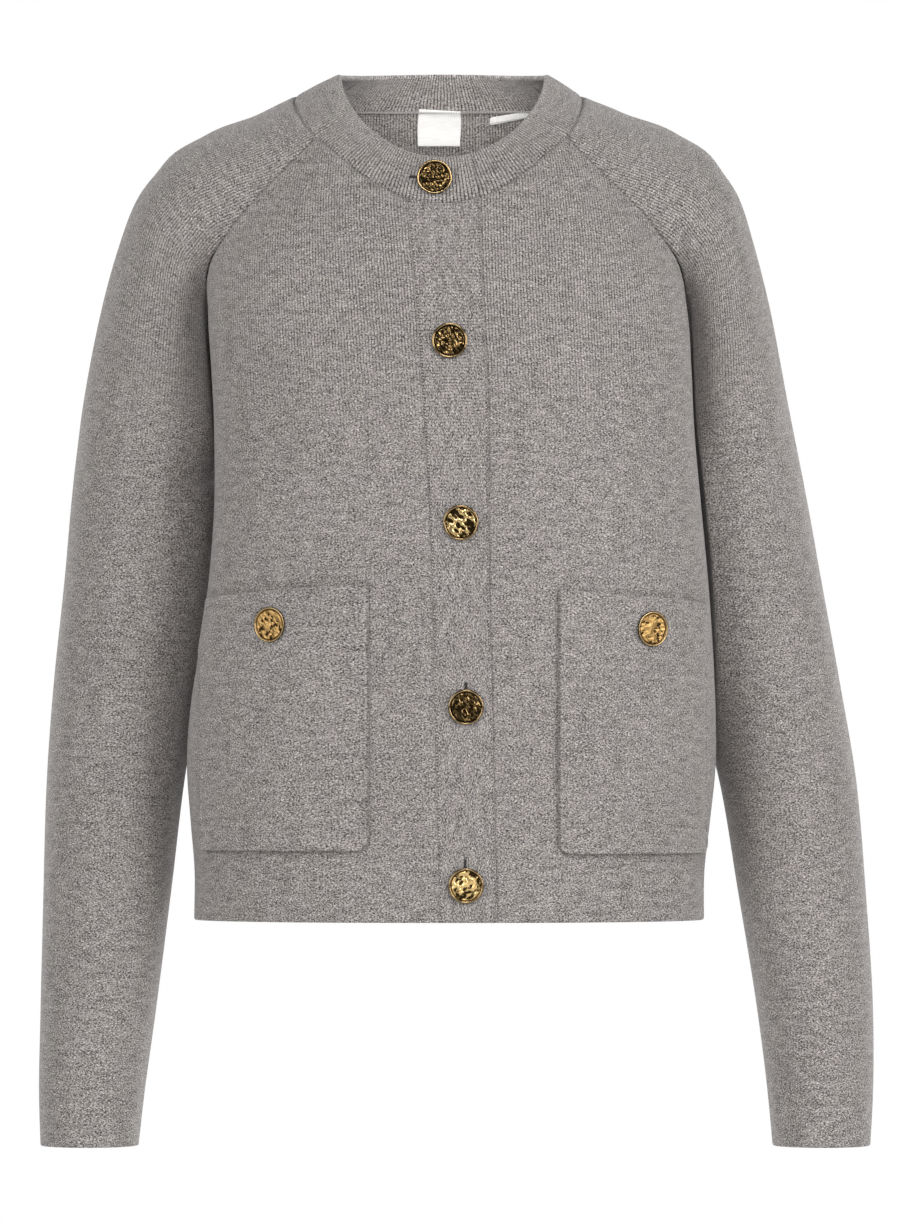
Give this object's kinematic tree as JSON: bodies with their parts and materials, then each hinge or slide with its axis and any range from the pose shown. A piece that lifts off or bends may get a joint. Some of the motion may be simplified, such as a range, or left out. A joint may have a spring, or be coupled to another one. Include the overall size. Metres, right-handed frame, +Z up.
{
  "type": "button cardigan",
  "caption": "Cropped raglan button cardigan in grey melange wool jersey with a folded round collar, patch pockets and hammered gold buttons, filled out and hollow.",
  "frame": {"origin": "middle of the neck, level with the shoulder seams where a wearer's shoulders hold the garment up", "axes": "+Z up along the body, -Y towards the buttoned front, +X to the viewer's right, which is the wearer's left"},
  "size_m": [0.5508, 0.2329, 0.7096],
  "materials": {
    "wool_jersey": "felted fine jersey in grey melange wool, matt and slightly fuzzy",
    "gold_metal": "hammered antique gold with a polished rim",
    "woven_label": "off-white woven tape, bare"
  },
  "bodies": {
    "root": {"front_right": "wool_jersey", "front_left": "wool_jersey", "back": "wool_jersey", "sleeve_right": "wool_jersey", "sleeve_left": "wool_jersey", "collar": "wool_jersey", "band_buttonholes": "wool_jersey", "band_buttons": "wool_jersey", "pocket_right": "wool_jersey", "pocket_left": "wool_jersey", "button_1": "gold_metal", "button_2": "gold_metal", "button_3": "gold_metal", "button_4": "gold_metal", "button_5": "gold_metal", "button_pocket_right": "gold_metal", "button_pocket_left": "gold_metal", "label_neck": "woven_label", "label_care": "woven_label"}
  },
  "joints": []
}
